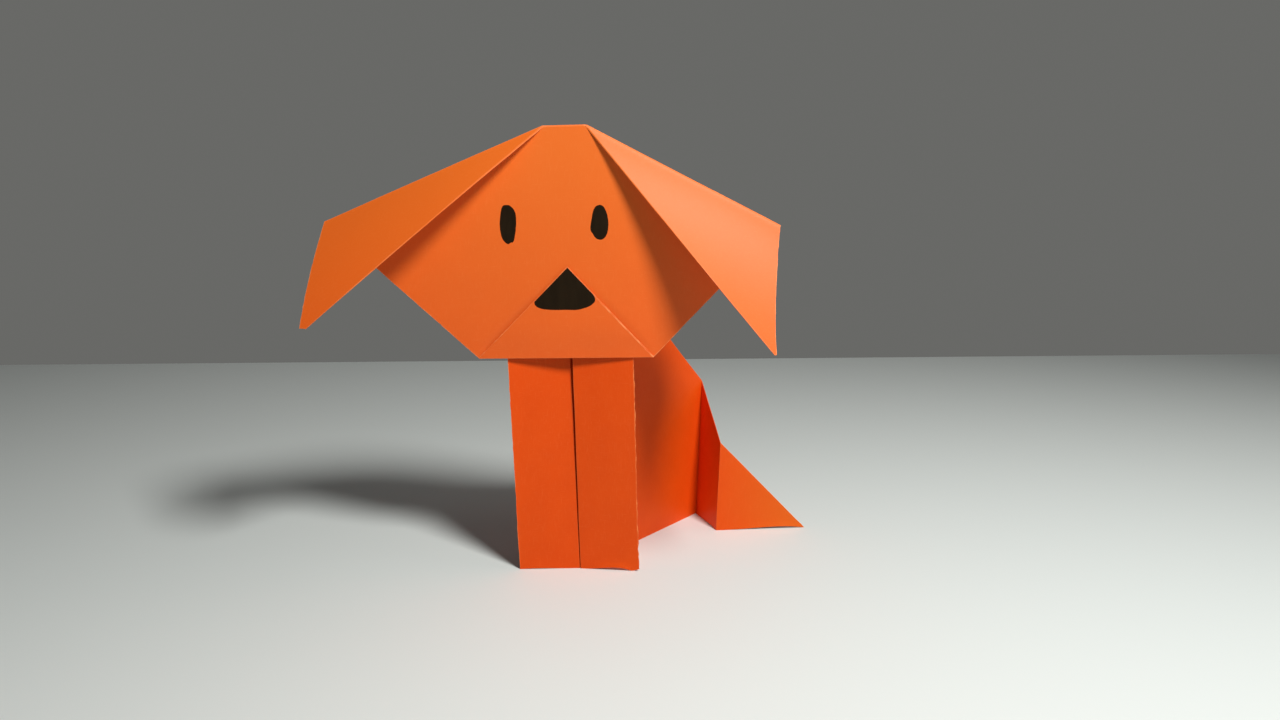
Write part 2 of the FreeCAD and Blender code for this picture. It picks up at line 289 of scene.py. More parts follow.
def body_points():
    """Corner points of the body sheet's mid-surface."""
    lean = leaning(-front_lean)
    right_out = heading(-right_leg_turn)
    left_out = heading(180 + left_leg_turn)
    rear_lean_step = leaning(rear_lean)
    p = {"seam": vec(0, 0, 0)}
    p["rear"] = p["seam"] + heading(flank_heading) * flank_length
    p["tail"] = p["rear"] + heading(pleat_heading) * pleat_length
    p["tip"] = p["tail"] + heading(tail_heading) * tail_length
    p["peak"] = p["seam"] + lean * seam_top
    p["rear_top"] = p["rear"] + rear_lean_step * (tail_length + pleat_length)
    p["tail_top"] = p["tail"] + rear_lean_step * tail_length

    right_facings = {name: facings_at(name, p, RIGHT_LAYER) for name in list(p)}
    for name, facings in right_facings.items():
        p[name + "_2"] = p[name] - mitre(facings, layer_pitch, name in ON_TABLE)
    left_seam_foot = p["seam"] + left_out * seam_gap_foot
    left_seam_top = p["peak"] + left_out * seam_gap_top
    p["seam_2"] = left_seam_foot + vec(0, seam_step_foot, 0)
    p["peak_2"] = left_seam_top + vec(0, seam_step_top, 0)

    left_lean = (left_seam_top - left_seam_foot) / seam_top
    right_edge = p["seam"] + right_out * leg_width
    p["right_foot"] = p["seam"] + right_out * (leg_width - foot_nick_width)
    p["right_foot_up"] = right_edge + lean * foot_nick_height
    p["right_top"] = right_edge + lean * leg_outer_top
    p["left_foot"] = left_seam_foot + left_out * leg_width
    p["left_top"] = p["left_foot"] + left_lean * leg_outer_top

    p["tab_right"] = p["right_top"] + heading(-90 - right_leg_turn) * layer_pitch
    p["tab_left"] = p["left_top"] + heading(-90 + left_leg_turn) * layer_pitch
    p["tab_peak"] = (p["peak"] + left_seam_top) / 2 + vec(0, -layer_pitch, 0)
    forward = p["tab_right"][1] - p["tab_peak"][1]
    down = math.sqrt(tab_length ** 2 - forward ** 2)
    p["tab_tip"] = p["tab_peak"] - lean * down + vec(0, forward, 0)
    return p


# --- folds of the head ---------------------------------------------------------------
FRONT_FACE = ("left_in", "left_out", "chin_l", "chin_r", "right_out", "right_in")
REAR_FACE = ("left_in_2", "right_in_2", "right_out_2", "chin_r_2", "chin_l_2", "left_out_2")
HEAD_PANELS = [
    # front layer: face and the inner sides of the ears
    FRONT_FACE,
    ("left_out", "left_in", "left_tip", "left_tip_cut"),
    ("right_in", "right_out", "right_tip_cut", "right_tip"),
    # the closed fold along the top and down both ears
    ("left_in", "right_in", "right_in_2", "left_in_2"),
    ("left_in", "left_in_2", "left_tip_2", "left_tip"),
    ("right_in", "right_tip", "right_tip_2", "right_in_2"),
    # rear layer: back of the head and the outer sides of the ears
    REAR_FACE,
    ("left_in_2", "left_out_2", "left_tip_cut_2", "left_tip_2"),
    ("right_out_2", "right_in_2", "right_tip_2", "right_tip_cut_2"),
    # the chin fold and the snout, the rear layer wrapped round the front one
    ("chin_r", "chin_l", "snout_l", "snout_r"),
    ("snout_r", "snout_l", "snout_tip"),
    ("chin_l_2", "chin_r_2", "snout_r_2", "snout_l_2"),
    ("snout_l_2", "snout_r_2", "snout_tip_2"),
]
FRONT_LAYER = HEAD_PANELS[:3]


class Face:
    """The face's own frame: across to the right, down and towards the viewer."""

    def __init__(self, back_of_head):
        roll = math.radians(head_roll)
        self.across = vec(math.cos(roll), 0, math.sin(roll))
        self.down = vec(math.sin(roll), 0, -math.cos(roll))
        self.out = vec(0, -1, 0)
        front = back_of_head - paper / 2 - layer_pitch
        self.origin = vec(head_shift, front, seam_top + head_above_body)

    def at(self, across, down, out=0.0):
        return self.origin + self.across * across + self.down * down + self.out * out


def folded_over(corner, start, end):
    """Where a flat corner lands when it is folded over the line from start to end."""
    line = unit(end - start)
    foot = start + line * np.dot(corner - start, line)
    return foot * 2 - corner


def turned(corner, start, end, degrees):
    """A corner turned about the crease from start to end."""
    axis = unit(end - start)
    arm = corner - start
    angle = math.radians(degrees)
    return (start + arm * math.cos(angle) + np.cross(axis, arm) * math.sin(angle)
            + axis * np.dot(axis, arm) * (1 - math.cos(angle)))


def head_points(face):
    """Corner points of the head sheet's mid-surface."""
    p = {
        "left_in": face.at(-left_ear_in, 0),
        "right_in": face.at(right_ear_in, 0),
        "left_out": face.at(-half_diagonal + left_ear_out, left_ear_out),
        "right_out": face.at(half_diagonal - right_ear_out, right_ear_out),
        "chin_l": face.at(-half_diagonal + chin_left + chin_skew, chin_left),
        "chin_r": face.at(half_diagonal - chin_right, chin_right),
    }
    left_corner = turned(face.at(-half_diagonal, 0), p["left_in"], p["left_out"],
                         left_ear_spring - 180)
    right_corner = turned(face.at(half_diagonal, 0), p["right_in"], p["right_out"],
                          180 - right_ear_spring)
    for side, corner, along_fold, along_cut in (
            ("left", left_corner, left_tip_fold_side, left_tip_cut_side),
            ("right", right_corner, right_tip_trim, right_tip_trim)):
        p[side + "_tip"] = corner + unit(p[side + "_in"] - corner) * along_fold
        p[side + "_tip_cut"] = corner + unit(p[side + "_out"] - corner) * along_cut

    front_facings = {name: facings_at(name, p, FRONT_LAYER) for name in list(p)}
    for name, facings in front_facings.items():
        p[name + "_2"] = p[name] - mitre(facings, layer_pitch)
    # the rear layer's chin fold lies one layer lower, around the front layer's
    wrap = layer_pitch
    p["chin_l_2"] = face.at(-half_diagonal + chin_left + chin_skew + wrap, chin_left + wrap,
                            -layer_pitch)
    p["chin_r_2"] = face.at(half_diagonal - chin_right - wrap, chin_right + wrap, -layer_pitch)

    for suffix, layers in (("", 1), ("_2", 2)):
        left = p["chin_l" + suffix]
        right = p["chin_r" + suffix]
        lift = face.out * (layers * layer_pitch - np.dot(left - face.origin, face.out))
        p["snout_l" + suffix] = left + lift
        p["snout_r" + suffix] = right + lift
        corner = face.at(0, half_diagonal, layers * layer_pitch)
        flat_tip = folded_over(corner, p["snout_l" + suffix], p["snout_r" + suffix])
        p["snout_tip" + suffix] = (flat_tip + face.out * snout_spring
                                   - face.down * snout_reach + face.across * snout_aside)
    return p


# --- curls ---------------------------------------------------------------------------
def bow(away, reach):
    """A curl that is nothing at the crease and at the tip."""
    share = np.clip(away / reach, 0, 1)
    return 4 * share * (1 - share)


def puff(away, reach):
    """A fold that opens at once and lies closer towards the tip."""
    rise = np.clip(away / puff_reach, 0, 1)
    return eased_step(rise) * (1 - np.clip(away / reach, 0, 1))


def sprung(away, reach):
    """A layer that turns away from its twin right at the fold and comes back slowly."""
    rise = np.clip(away / spring_rise, 0, 1)
    return eased_step(rise) * (1 - np.clip(away / spring_reach, 0, 1))


# panels that have these corners, the fold that they curl from, and how far and how
HEAD_CURLS = [(("left_tip",), "left_in", "left_out", left_ear_bow, bow),
              (("right_tip",), "right_in", "right_out", right_ear_bow, bow),
              (("snout_tip",), "snout_l", "snout_r", snout_puff, puff)]
BODY_CURLS = [(("seam_2", "rear_top_2"), "seam_2", "peak_2", -seam_spring, sprung)]
# the face is pressed in along the snout's two cut edges
HEAD_DENTS = [("chin_l", "snout_tip", 0.42), ("chin_r", "snout_tip", 0.18)]


# --- mesh tools ----------------------------------------------------------------------
def drift(place):
    """Two pushes, from -1 to 1 each, that change slowly from place to place."""
    return noise.noise(place), noise.noise(place + Vector(SECOND_START))


def waved(points):
    """The same points, in metres, moved with the gentle waves that run through the paper.

    The waves only move points level, so the feet stay on the table.
    """
    moved = np.array(points, float)
    for length, height in WAVES:
        for row, point in enumerate(points):
            across, out = drift(Vector(point) / length + Vector(WAVE_START))
            moved[row, 0] += across * height
            moved[row, 1] += out * height
    return moved * MM


def cut_into_cells(bm, spacing):
    """Cuts a mesh along upright and level planes."""
    for axis in (0, 2):
        places = [v.co[axis] for v in bm.verts]
        direction = [0, 0, 0]
        direction[axis] = 1
        steps = range(math.floor(min(places) / spacing), math.ceil(max(places) / spacing))
        for step in steps:
            at = [0, 0, 0]
            at[axis] = (step + cell_offset) * spacing
            bmesh.ops.bisect_plane(bm, geom=bm.verts[:] + bm.edges[:] + bm.faces[:],
                                   dist=weld, plane_co=at, plane_no=direction)


def points_and_faces(bm):
    """A mesh's points, and its faces as lists of their numbers."""
    bm.verts.index_update()
    return np.array([v.co for v in bm.verts]), [[v.index for v in f.verts] for f in bm.faces]


def rim_of(bm):
    """The open edges of a mesh, each in the direction of its face."""
    loops = [edge.link_loops[0] for edge in bm.edges if len(edge.link_faces) == 1]
    return [(loop.vert.index, loop.link_loop_next.vert.index) for loop in loops]


def both_sides(faces, rim, count):
    """Faces of a front skin, of a back skin whose points follow, and of the rim between."""
    backs = [[v + count for v in reversed(face)] for face in faces]
    return faces + backs + [[b, a, a + count, b + count] for a, b in rim]


def piece(name, points, faces, materials, slots=None, attributes=None):
    """A new object from points in metres, shaded smooth except at real edges."""
    mesh = bpy.data.meshes.new(name)
    mesh.from_pydata([tuple(p) for p in points], [], faces)
    for material in materials:
        mesh.materials.append(material)
    if slots is not None:
        mesh.polygons.foreach_set("material_index", slots)
    for key, values in (attributes or {}).items():
        mesh.attributes.new(key, "FLOAT", "POINT").data.foreach_set("value", values)
    mesh.polygons.foreach_set("use_smooth", [True] * len(faces))
    mesh.set_sharp_from_angle(angle=math.radians(sharp_angle))
    mesh.validate()
    obj = bpy.data.objects.new(name, mesh)
    bpy.context.scene.collection.objects.link(obj)
    return obj


# --- the folded sheets ---------------------------------------------------------------
class Sheet:
    """A folded sheet's mid-surface as a fine mesh, finished step by step."""

    def __init__(self, corners, panels):
        self.corners = corners
        self.panels = panels
        self.cut_up()
        self.measure_edges()

    def cut_up(self):
        """Makes the mesh: lines beside every fold and cut, then cells."""
        bm = bmesh.new()
        corner = {key: bm.verts.new(point) for key, point in self.corners.items()}
        panel_of = bm.faces.layers.int.new("panel")
        broad = []
        crowns = []
        for index, panel in enumerate(self.panels):
            face = bm.faces.new([corner[key] for key in panel])
            face[panel_of] = index
            lengths = sorted(edge.calc_length() for edge in face.edges)
            if len(panel) == 4 and lengths[0] < closed_fold_limit:
                crowns += sorted(face.edges, key=lambda e: e.calc_length())[:2]
            else:
                broad.append(face)
        bm.normal_update()

        # closed folds get a line along their middle, pushed out
        made = bmesh.ops.subdivide_edges(bm, edges=list(dict.fromkeys(crowns)), cuts=1,
                                         use_grid_fill=True)
        bm.normal_update()
        for vert in {g for g in made["geom_inner"] if isinstance(g, bmesh.types.BMVert)}:
            out = sum((f.normal for f in vert.link_faces if f not in broad), Vector((0, 0, 0)))
            if out.length > 0:
                vert.co += out.normalized() * fold_crown
        for width in (near_ring, far_ring - near_ring):
            bmesh.ops.inset_individual(bm, faces=broad, thickness=width, use_even_offset=True)
        cut_into_cells(bm, cell)

        self.co, self.faces = points_and_faces(bm)
        self.owner = [f[panel_of] for f in bm.faces]
        self.edges = [tuple(v.index for v in edge.verts) for edge in bm.edges]
        self.rim = rim_of(bm)
        self.creased = np.zeros(len(self.co), bool)
        for edge in bm.edges:
            if len({f[panel_of] for f in edge.link_faces}) == 2:
                self.creased[[v.index for v in edge.verts]] = True
        self.creased[np.unique(np.array(self.rim))] = False
        bm.free()

    def rows_of(self, wanted):
        """Numbers of the points on the panels whose numbers are wanted."""
        faces = [face for face, panel in zip(self.faces, self.owner) if panel in wanted]
        return np.unique(np.array([v for face in faces for v in face]))

    def measure_edges(self):
        """Each point's distance from folds and cuts, and how far an uneven cut moves it."""
        steps = {(a, b) for panel in self.panels for a, b in zip(panel, panel[1:] + panel[:1])}
        self.fold_mm = np.full(len(self.co), pale_edge_reach)
        self.cut_mm = np.full(len(self.co), pale_edge_reach)
        pushes = np.zeros((len(self.co), 3))
        shares = np.zeros(len(self.co))
        for index, panel in enumerate(self.panels):
            rows = self.rows_of({index})
            normal = unit(facing([self.corners[key] for key in panel]))
            for a, b in zip(panel, panel[1:] + panel[:1]):
                start = self.corners[a]
                end = self.corners[b]
                away = distance_to(self.co[rows], start, end)
                if (b, a) in steps:
                    if {a, b} not in UNCREASED:
                        self.fold_mm[rows] = np.minimum(self.fold_mm[rows], away)
                    continue
                height = ragged
                pale_trim = crisp if {a, b} in CRISP else 0
                if {a, b} in TORN:
                    height = torn
                    pale_trim = -fluffy
                self.cut_mm[rows] = np.minimum(self.cut_mm[rows], away + pale_trim)
                outward = unit(np.cross(end - start, normal))
                beside = away < far_ring * 1.2
                for row, gap in zip(rows[beside], away[beside]):
                    place = Vector(self.co[row]) + Vector((index * nick_step, 0, 0))
                    rough = (coarse_share * noise.noise(place / coarse_nick)
                             + noise.noise(place / fine_nick))
                    pushes[row] += outward * max(1 - gap / far_ring, 0) * rough * height
                    shares[row] += 1
        self.unevenness = pushes / np.maximum(shares, 1)[:, None]

    def curl(self, marks, start, end, height, profile):
        """Bends the panels that have all the marks in their corners' names."""
        flap = {i for i, panel in enumerate(self.panels)
                if all(any(mark in key for key in panel) for mark in marks)}
        rows = self.rows_of(flap)
        away = distance_from_hinge(self.co[rows], self.corners[start], self.corners[end])
        self.co[rows, 1] -= height * profile(away, away.max())

    def dent(self, start, end, depth):
        """Presses both layers of the face in along a line."""
        faces = {self.panels.index(FRONT_FACE), self.panels.index(REAR_FACE)}
        rows = self.rows_of(faces)
        ends = (self.corners[start], self.corners[end])
        share = share_along(self.co[rows], *ends)
        taper = np.clip(share / dent_start, 0, 1) * np.clip((1 - share) / dent_end, 0, 1)
        near = np.clip(1 - distance_to(self.co[rows], *ends) / dent_reach, 0, 1)
        self.co[rows, 1] += depth * taper * eased_step(near)

    def ease(self):
        """Rounds the creases, then moves the cut edges by their unevenness."""
        neighbours = np.zeros((len(self.co), 3))
        count = np.zeros(len(self.co))
        for a, b in self.edges:
            neighbours[a] += self.co[b]
            neighbours[b] += self.co[a]
            count[a] += 1
            count[b] += 1
        rounded = self.co + (neighbours / count[:, None] - self.co) * fold_round
        self.on_table = self.co[:, 2] < table_touch
        self.co = np.where((self.creased & ~self.on_table)[:, None], rounded, self.co)
        # cuts that stand on the table stay straight
        self.unevenness[self.co[:, 2] < 2 * far_ring] = 0
        self.co += self.unevenness

    def skin_steps(self):
        """Steps from the mid-surface to the outer skin, square to every panel at a point."""
        slack = 0.015        # keeps the sums solvable where all panels face one way
        sizes = [math.sqrt(np.linalg.norm(facing([self.corners[key] for key in panel])))
                 for panel in self.panels]
        sums = {}
        for face, panel in zip(self.faces, self.owner):
            normal = facing([self.co[v] for v in face])
            for v in face:
                sums[v, panel] = sums.get((v, panel), 0) + normal
        pull = np.zeros((len(self.co), 3, 3))
        target = np.zeros((len(self.co), 3))
        total = np.zeros(len(self.co))
        for (v, panel), normal in sums.items():
            n = unit(normal)
            if self.on_table[v]:
                n = n * (1, 1, 0)
            pull[v] += np.outer(n, n) * sizes[panel]
            target[v] += n * sizes[panel]
            total[v] += sizes[panel]
        pull = pull / total[:, None, None] + np.eye(3) * slack
        steps = np.linalg.solve(pull, (target / total[:, None])[:, :, None])[:, :, 0]
        return steps * (paper / 2 * (1 + slack))

    def lifted(self, lifts):
        """How far each point stands off the table, most past the middle of each edge."""
        lift = np.zeros(len(self.co))
        for start, end, height in lifts:
            ends = (self.corners[start], self.corners[end])
            near = 1 - distance_to(self.co, *ends) / foot_reach
            profile = bow(share_along(self.co, *ends) ** 2, 1)
            lift = np.maximum(lift, height * profile * np.clip(near, 0, 1))
        return np.tile(lift, 2)

    def finished(self, name, materials, lifts=()):
        """The sheet as an object: two skins and the cut edges between them."""
        steps = self.skin_steps()
        lift = self.lifted(lifts)
        skins = np.vstack((self.co + steps, self.co - steps))
        skins[:, 1] -= lift * foot_spread
        skins[:, 2] = np.maximum(skins[:, 2], 0) + lift
        faces = both_sides(self.faces, self.rim, len(self.co))
        slots = [0] * (2 * len(self.faces)) + [1] * len(self.rim)
        wear_and_highlight = {"fold_mm": np.tile(self.fold_mm, 2), "cut_mm": np.tile(self.cut_mm, 2)}
        return piece(name, waved(skins), faces, materials, slots, wear_and_highlight)


def folded_sheet(name, corners, panels, materials, curls=(), dents=(), lifts=()):
    """A sheet of paper with eased folds and slightly uneven cuts."""
    sheet = Sheet(corners, panels)
    for curl in curls:
        sheet.curl(*curl)
    for dent in dents:
        sheet.dent(*dent)
    sheet.ease()
    return sheet.finished(name, materials, lifts)


# --- ink and glue --------------------------------------------------------------------
def drawn_round(corners, seed):
    """A smooth closed line through the corners, with a pen's small wobble."""
    line = []
    count = len(corners)
    for i in range(count):
        around = [np.array(corners[(i + k) % count]) for k in (-1, 0, 1, 2)]
        for j in range(pen_steps):
            spot = smooth_point(*around, j / pen_steps)
            push = drift(Vector((spot[0], spot[1], seed)) * wobble_turns)
            line.append(spot + np.array(push) * wobble)
    return line


def ink_film(name, outline, out, material, curl=None):
    """Dried ink on a panel: thin at its edge and even inside."""
    bm = bmesh.new()
    face = bm.faces.new([bm.verts.new(point) for point in outline])
    bm.normal_update()
    if face.normal.dot(Vector(out)) < 0:
        bmesh.ops.reverse_faces(bm, faces=[face])
    edge_line = [np.array(tuple(v.co)) for v in bm.verts]
    bmesh.ops.triangulate(bm, faces=bm.faces[:])
    cut_into_cells(bm, film_cell)
    co, faces = points_and_faces(bm)
    rim = rim_of(bm)
    bm.free()
    sides = zip(edge_line, edge_line[1:] + edge_line[:1])
    inside = np.min([distance_to(co, start, end) for start, end in sides], axis=0)
    if curl:
        co = co + curl(co)
    fullness = np.clip(inside / ink_ramp, 0, 1)
    height = ink * (ink_edge_share + (1 - ink_edge_share) * fullness)
    skins = np.vstack((co + height[:, None] * out, co))
    return piece(name, waved(skins), both_sides(faces, rim, len(co)), [material],
                 attributes={"rim_mm": np.tile(inside, 2)})


def eye_outline(face, offset, corners, seed):
    """Points of an upright eye on the front of the face."""
    centre = face.at(offset, eye_height_on_face, paper / 2)
    return [centre + vec(x, 0, -down) for x, down in drawn_round(corners, seed)]


def nose_outline(skin):
    """Points of the inked tip of the snout, and the way that it faces."""
    tip, left, right = (skin[n] for n in ("snout_tip_2", "snout_l_2", "snout_r_2"))
    to_left = unit(left - tip)
    to_right = unit(right - tip)
    out = unit(facing([left, right, tip]))
    down = unit(to_left + to_right)
    across = -np.cross(down, out)
    start = tip + down * (nose_inset * math.sqrt(2))
    lip = [start + to_right * nose_right_side]
    lip += [tip + across * x + down * y for x, y in NOSE_LIP]
    lip += [start + to_left * nose_left_side]
    padded = [lip[0] - (lip[1] - lip[0])] + lip + [lip[-1] + (lip[-1] - lip[-2])]
    smooth = [smooth_point(*around, j / pen_steps)
              for around in zip(padded, padded[1:], padded[2:], padded[3:])
              for j in range(pen_steps)]
    return [start] + smooth + [lip[-1]], out


def snout_curl(points, skin):
    """How far the snout stands forward, at points on it, because its fold is open."""
    ends = (skin["snout_l_2"], skin["snout_r_2"])
    reach = distance_from_hinge(skin["snout_tip_2"][None, :], *ends)[0]
    away = distance_from_hinge(points, *ends)
    return vec(0, -snout_puff, 0) * puff(away, reach)[:, None]


def glue_mesh(name, skin, back_of_head, material):
    """The dab of glue that fills the wedge between the tab and the back of the head."""
    peak = skin["tab_peak"]
    tip = skin["tab_tip"]
    up_tab = (peak - tip) / (peak[2] - tip[2])
    low = tip + up_tab * glue_above_tab_tip
    middle = low + up_tab * (glue_height / 2)
    high = low + up_tab * glue_height
    sides = {}
    for key, width in (("tab_left", -glue_width / 2), ("tab_right", glue_width / 2)):
        out = facing([tip, skin[key], peak])
        sides[key] = middle + vec(width, -out[0] / out[1] * width, 0)
    outline = zip("lrhm", (low, sides["tab_right"], high, sides["tab_left"]))
    bm = bmesh.new()
    front = {key: bm.verts.new(p) for key, p in outline}
    back = {key: bm.verts.new(vec(v.co.x, back_of_head, v.co.z)) for key, v in front.items()}
    for ends in (front, back):
        bm.faces.new([ends[k] for k in "lrh"])
        bm.faces.new([ends[k] for k in "hml"])
    for a, b in ("lr", "rh", "hm", "ml"):
        bm.faces.new([front[a], front[b], back[b], back[a]])
    bmesh.ops.recalc_face_normals(bm, faces=bm.faces[:])
    cut_into_cells(bm, film_cell)
    co, faces = points_and_faces(bm)
    bm.free()

    # rounded corners: points far from the middle come in
    centre = (low + high) / 2
    aside = np.abs(co[:, 0] - centre[0]) / (glue_width / 2)
    above = np.abs(co[:, 2] - centre[2]) / (glue_height / 2)
    outer_half = np.clip(np.maximum(aside, above) - 0.5, 0, 1) / 0.5
    keep = 1 - glue_rounding * outer_half * np.clip(aside + above, 0, 1)
    for axis in (0, 2):
        co[:, axis] = centre[axis] + (co[:, axis] - centre[axis]) * keep
    return piece(name, waved(co), faces, [material])


# --- materials -----------------------------------------------------------------------
def principled(name):
    material = bpy.data.materials.new(name)
    material.use_nodes = True
    return material, material.node_tree, material.node_tree.nodes["Principled BSDF"]


def node(tree, kind, **settings):
    made = tree.nodes.new(kind)
    for key, value in settings.items():
        setattr(made, key, value)
    return made


def link(tree, output, target):
    tree.links.new(output, target)


def noise_at(tree, scale, detail=3.0, rough=0.55, stretch=None):
    """Noise in the object's own space, with its scale in turns per metre."""
    source = node(tree, "ShaderNodeTexCoord").outputs["Object"]
    if stretch:
        mapping = node(tree, "ShaderNodeMapping")
        mapping.inputs["Rotation"].default_value = stretch[0]
        mapping.inputs["Scale"].default_value = stretch[1]
        link(tree, source, mapping.inputs["Vector"])
        source = mapping.outputs["Vector"]
    made = node(tree, "ShaderNodeTexNoise")
    made.inputs["Scale"].default_value = scale
    made.inputs["Detail"].default_value = detail
    made.inputs["Roughness"].default_value = rough
    link(tree, source, made.inputs["Vector"])
    return made.outputs["Fac"]


def remap(tree, value, low, high, to_low, to_high):
    """A value carried from one range to another, and held inside it."""
    made = node(tree, "ShaderNodeMapRange")
    link(tree, value, made.inputs["Value"])
    for key, number in (("From Min", low), ("From Max", high),
                        ("To Min", to_low), ("To Max", to_high)):
        made.inputs[key].default_value = number
    return made.outputs["Result"]


def patches(tree, *args, **settings):
    """Noise with strong contrast, from 0 to 1."""
    return remap(tree, noise_at(tree, *args, **settings), 0.35, 0.65, 0, 1)


def sum_of(tree, first, second, operation="ADD"):
    """Two values or sockets put together by a sum, or by the operation named."""
    made = node(tree, "ShaderNodeMath", operation=operation)
    for socket, value in zip(made.inputs, (first, second)):
        if isinstance(value, (int, float)):
            socket.default_value = value
        else:
            link(tree, value, socket)
    return made.outputs[0]


def product_of(tree, first, second):
    return sum_of(tree, first, second, "MULTIPLY")


def larger_of(tree, first, second):
    return sum_of(tree, first, second, "MAXIMUM")


def mixed(tree, share, first, second):
    """Colour between first and second; each is a colour or a socket."""
    made = node(tree, "ShaderNodeMix", data_type="RGBA")
    link(tree, share, made.inputs["Factor"])
    colour_sockets = [s for s in made.inputs if s.type == "RGBA"]
    for socket, value in zip(colour_sockets, (first, second)):
        if isinstance(value, tuple):
            socket.default_value = (*value, 1)
        else:
            link(tree, value, socket)
    return next(s for s in made.outputs if s.type == "RGBA")


def bumped(tree, height, depth, strength, target):
    made = node(tree, "ShaderNodeBump")
    made.inputs["Strength"].default_value = strength
    made.inputs["Distance"].default_value = depth
    link(tree, height, made.inputs["Height"])
    link(tree, made.outputs["Normal"], target)


def distance_in_mm(tree, name):
    """A distance that the mesh carries at each of its points."""
    return node(tree, "ShaderNodeAttribute", attribute_name=name).outputs["Fac"]


# turn and squeeze of the three sets of fibres that cross in the paper
FIBRES = (((0, 0.5, 0), (1, 1, 0.12)),
          ((0, -0.7, 0.3), (0.14, 1, 1)),
          ((0, 1.3, -0.4), (1, 1, 0.16)))


def paper_material(name, colour, deep, pale_fibre_and_highlight, gloss, rough, painted_light_tone, axis, near, far):
    """Dyed paper: soft mottling, faint fibres, and pale fibres along the folds and cuts, with a
    painted highlight on the same lines.

    Between two places along an axis the colour turns paler, as painted light where more light
    falls.
    """
    material, tree, shader = principled(name)
    tone = mixed(tree, patches(tree, 90, 4), deep, colour)
    place = node(tree, "ShaderNodeSeparateXYZ")
    link(tree, node(tree, "ShaderNodeTexCoord").outputs["Object"], place.inputs[0])
    # painted light: paler towards the far place along the axis, where more light falls
    tone = mixed(tree, remap(tree, place.outputs[axis], near, far, 0, 1), tone, painted_light_tone)
    strands = [remap(tree, noise_at(tree, 2600, 2, 0.5, stretch=stretch), 0.58, 0.78, 0, 1)
               for stretch in FIBRES]
    web = larger_of(tree, larger_of(tree, strands[0], strands[1]), strands[2])
    tone = mixed(tree, product_of(tree, web, 0.10), tone, pale_fibre_and_highlight)

    # pale worn fibres and a painted highlight along folds and cuts: strongest on the line of
    # the fold or the cut, uneven along it
    on_fold = remap(tree, distance_in_mm(tree, "fold_mm"), 0.02, 0.17, 0.50, 0)
    fold_patchiness = remap(tree, noise_at(tree, 60, 2), 0.35, 0.65, 0.25, 1.1)
    on_cut = remap(tree, distance_in_mm(tree, "cut_mm"), 0.04, 0.28, 0.95, 0)
    cut_patchiness = remap(tree, noise_at(tree, 230, 3), 0.38, 0.62, 0.25, 1.1)
    wear_and_highlight = larger_of(tree, product_of(tree, on_fold, fold_patchiness), product_of(tree, on_cut, cut_patchiness))
    uneven = remap(tree, noise_at(tree, 700, 3), 0.3, 0.7, 0.35, 1.1)
    wear_and_highlight = product_of(tree, wear_and_highlight, uneven)
    link(tree, mixed(tree, wear_and_highlight, tone, pale_fibre_and_highlight), shader.inputs["Base Color"])

    grain = noise_at(tree, 4200, 3, 0.6)
    tooth = sum_of(tree, grain, product_of(tree, web, 0.6))
    felt = sum_of(tree, tooth, product_of(tree, noise_at(tree, 350, 2), 1.6))
    bumped(tree, felt, 0.00002, 0.5, shader.inputs["Normal"])
    link(tree, remap(tree, sum_of(tree, grain, wear_and_highlight), 0.3, 1.2, rough, rough + 0.16),
         shader.inputs["Roughness"])
    shader.inputs["Specular IOR Level"].default_value = gloss
    return material


def cut_material(name, core, dyed):
    """The paper's cut edge: a pale core with dyed fibres."""
    material, tree, shader = principled(name)
    fray = patches(tree, 3000, 3)
    link(tree, mixed(tree, fray, core, dyed), shader.inputs["Base Color"])
    bumped(tree, fray, 0.00003, 0.6, shader.inputs["Normal"])
    shader.inputs["Roughness"].default_value = 0.85
    return material


def ink_material(name):
    """Black marker on paper: a little thin and brown at its edge, streaked inside."""
    material, tree, shader = principled(name)
    streaks = patches(tree, 500, 3, 0.5, stretch=((0, 0.2, 0), (1, 1, 0.2)))
    tone = mixed(tree, streaks, (0.0110, 0.0055, 0.0012), (0.0150, 0.0080, 0.0022))
    soaked = remap(tree, distance_in_mm(tree, "rim_mm"), 0.02, 0.22, 0.55, 0)
    link(tree, mixed(tree, soaked, tone, (0.055, 0.008, 0.002)), shader.inputs["Base Color"])
    grain = noise_at(tree, 4200, 3, 0.6)
    bumped(tree, grain, 0.00002, 0.4, shader.inputs["Normal"])
    link(tree, remap(tree, grain, 0.3, 0.7, 0.5, 0.66), shader.inputs["Roughness"])
    shader.inputs["Specular IOR Level"].default_value = 0.10
    return material


def glue_material(name):
    """Dried white glue: clouded, a little yellow and smooth."""
    material, tree, shader = principled(name)
    clouds = patches(tree, 900, 3)
    link(tree, mixed(tree, clouds, (0.62, 0.56, 0.42), (0.78, 0.74, 0.62)),
         shader.inputs["Base Color"])
    bumped(tree, clouds, 0.00005, 0.3, shader.inputs["Normal"])
    shader.inputs["Roughness"].default_value = 0.32
    return material


# painted light: the body's colour turns paler towards its tail, the head's towards its top,
# where more light falls
# painted shade: the body is the same paper as the head, and its darker, redder colour here
# stands in for the lesser light that falls on it
body_paper = paper_material("body_paper_orange_shaded",
                            colour=(0.790, 0.078, 0.0023), deep=(0.765, 0.072, 0.0019),
                            pale_fibre_and_highlight=(0.93, 0.27, 0.08), gloss=0.15, rough=0.48,
                            painted_light_tone=(0.790, 0.130, 0.0080), axis="X", near=0.046, far=0.084)
head_paper = paper_material("head_paper_orange",
                            colour=(0.825, 0.110, 0.0050), deep=(0.805, 0.105, 0.0045),
                            pale_fibre_and_highlight=(0.94, 0.31, 0.10), gloss=0.40, rough=0.52,
                            painted_light_tone=(0.815, 0.149, 0.0090), axis="Z", near=0.070, far=0.145)
cut_edge = cut_material("paper_cut_edge", core=(0.93, 0.42, 0.20), dyed=(0.85, 0.20, 0.05))
marker = ink_material("marker_ink")
dried_glue = glue_material("dried_glue")

